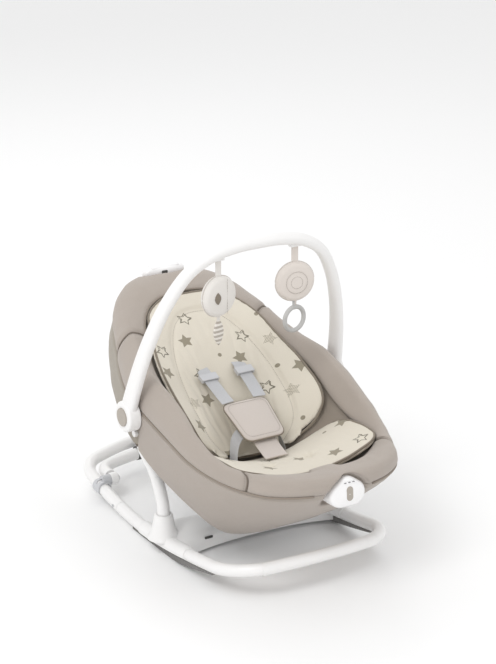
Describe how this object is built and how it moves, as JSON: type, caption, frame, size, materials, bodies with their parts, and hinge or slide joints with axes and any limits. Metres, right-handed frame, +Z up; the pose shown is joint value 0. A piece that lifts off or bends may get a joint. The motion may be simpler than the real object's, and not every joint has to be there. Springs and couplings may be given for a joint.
{
  "type": "bouncer seat",
  "caption": "Padded baby bouncer seat hung between two uprights on a rocking tube base, with a turning toy bar, a harness, a recline lever and a vibration unit.",
  "frame": {"origin": "middle of the footprint, on the floor", "axes": "+Z up, -Y towards the feet end, +X to the right seen from the feet end"},
  "size_m": [0.5024, 0.7823, 0.6385],
  "materials": {
    "frame_paint": "satin white paint",
    "white_plastic": "satin",
    "grey_plastic": "satin",
    "taupe_plastic": "satin",
    "cover_fabric": "plain weave",
    "pad_fabric": "soft printed knit",
    "shell_plastic": "matt",
    "webbing": "woven webbing",
    "rubber_grip": "matt",
    "steel": "plated",
    "light_metal": "drawn tube",
    "toy_plush": "short plush",
    "teether": "ribbed, matt",
    "cable_sheath": "matt"
  },
  "bodies": {
    "base": {"rear_base_tube": "frame_paint", "front_base_tube": "frame_paint", "joint_sleeves": "steel", "frame_screws": "steel", "crossbar_cover": "white_plastic", "crossbar_tray": "white_plastic", "anti_slip_strips": "rubber_grip", "upright_left": "frame_paint", "upright_right": "frame_paint", "ratchet_discs": "steel", "hinge_pins": "steel", "kickstand_brackets": "grey_plastic", "kickstand_pins": "steel"},
    "kickstand": {"kickstand_bar": "frame_paint", "kickstand_feet": "rubber_grip"},
    "seat": {"rim_tube": "light_metal", "hub_left": "shell_plastic", "hub_right": "shell_plastic", "seat_shell": "shell_plastic", "back_board": "shell_plastic", "seat_liner": "cover_fabric", "head_panel": "cover_fabric", "side_panel_left": "cover_fabric", "side_panel_right": "cover_fabric", "front_panel": "cover_fabric", "skirt": "cover_fabric", "back_cover": "cover_fabric", "snap_fasteners": "white_plastic", "recline_cables": "cable_sheath", "handle_body": "white_plastic", "lever_spring": "steel", "back_pad": "pad_fabric", "seat_pad": "pad_fabric", "shoulder_strap_left": "webbing", "shoulder_strap_right": "webbing", "waist_straps": "webbing", "crotch_strap": "cover_fabric", "buckle": "grey_plastic", "harness_pad": "cover_fabric", "unit_housing": "white_plastic", "battery_door": "white_plastic", "batteries": "steel", "vibration_motor": "steel"},
    "lock_left": {"lock_pin_left": "steel"},
    "lock_right": {"lock_pin_right": "steel"},
    "lever": {"recline_lever": "white_plastic"},
    "adjuster_left": {"strap_adjuster_left": "grey_plastic"},
    "adjuster_right": {"strap_adjuster_right": "grey_plastic"},
    "buckle_press": {"buckle_button": "grey_plastic"},
    "rotor": {"motor_weight": "steel"},
    "dial": {"selector": "taupe_plastic"},
    "bar": {"toy_bar": "white_plastic", "toy_hub_left": "white_plastic", "toy_hub_right": "white_plastic"},
    "button_left": {"release_button_left": "taupe_plastic"},
    "button_right": {"release_button_right": "taupe_plastic"},
    "plush_left": {"toy_left": "toy_plush"},
    "leaf": {"leaf": "toy_plush"},
    "plush_right": {"toy_right": "toy_plush"},
    "ring": {"teether_ring": "teether"}
  },
  "joints": [
    {"name": "kickstand_fold", "type": "hinge", "parent": "base", "child": "kickstand", "pos_m": [0, 0.2591, 0.048], "axis": [1, 0, 0], "range_deg": [-20, 0]},
    {"name": "seat_recline", "type": "hinge", "parent": "base", "child": "seat", "pos_m": [0, 0.0321, 0.286], "axis": [1, 0, 0], "range_deg": [-8, 6]},
    {"name": "toy_bar_turn", "type": "hinge", "parent": "seat", "child": "bar", "pos_m": [0, 0.0321, 0.286], "axis": [1, 0, 0], "range_deg": [-50, 35]},
    {"name": "release_left", "type": "slide", "parent": "bar", "child": "button_left", "axis": [1, 0, 0], "range_m": [0, 0.004], "stiffness_N_per_m": 400},
    {"name": "release_right", "type": "slide", "parent": "bar", "child": "button_right", "axis": [-1, 0, 0], "range_m": [0, 0.004], "stiffness_N_per_m": 400},
    {"name": "recline_lever_press", "type": "slide", "parent": "seat", "child": "lever", "axis": [0, 0, -1], "range_m": [0, 0.004], "stiffness_N_per_m": 900, "deforming": ["lever_spring"]},
    {"name": "lock_pin_left_slide", "type": "slide", "parent": "seat", "child": "lock_left", "axis": [1, 0, 0], "range_m": [0, 0.007]},
    {"name": "lock_pin_right_slide", "type": "slide", "parent": "seat", "child": "lock_right", "axis": [-1, 0, 0], "range_m": [0, 0.007]},
    {"name": "adjuster_left_slide", "type": "slide", "parent": "seat", "child": "adjuster_left", "axis": [0, 0.9272, 0.3746], "range_m": [-0.008, 0.008]},
    {"name": "adjuster_right_slide", "type": "slide", "parent": "seat", "child": "adjuster_right", "axis": [0, 0.9272, 0.3746], "range_m": [-0.008, 0.008]},
    {"name": "buckle_button_press", "type": "slide", "parent": "seat", "child": "buckle_press", "axis": [0, 0.454, -0.891], "range_m": [0, 0.003], "stiffness_N_per_m": 500},
    {"name": "motor_spin", "type": "hinge", "parent": "seat", "child": "rotor", "pos_m": [0.024, -0.37787, 0.21517], "axis": [0, 0.0698, 0.9976], "continuous": true},
    {"name": "selector_turn", "type": "hinge", "parent": "seat", "child": "dial", "pos_m": [0, -0.3749, 0.229], "axis": [0, -0.9976, 0.0698], "range_deg": [-35, 35]},
    {"name": "toy_left_swing", "type": "hinge", "parent": "bar", "child": "plush_left", "pos_m": [-0.0855, -0.05913, 0.60418], "axis": [1, 0, 0], "range_deg": [-35, 35]},
    {"name": "leaf_swing", "type": "hinge", "parent": "plush_left", "child": "leaf", "pos_m": [-0.0855, -0.05913, 0.48468], "axis": [1, 0, 0], "range_deg": [-30, 30]},
    {"name": "toy_right_swing", "type": "hinge", "parent": "bar", "child": "plush_right", "pos_m": [0.0855, -0.05913, 0.60418], "axis": [1, 0, 0], "range_deg": [-35, 35]},
    {"name": "ring_swing", "type": "hinge", "parent": "plush_right", "child": "ring", "pos_m": [0.0855, -0.05913, 0.48468], "axis": [1, 0, 0], "range_deg": [-30, 30]}
  ],
  "couplings": [
    {"joint": "lock_pin_left_slide", "follows": "recline_lever_press", "ratio": 1.75},
    {"joint": "lock_pin_right_slide", "follows": "recline_lever_press", "ratio": 1.75}
  ]
}
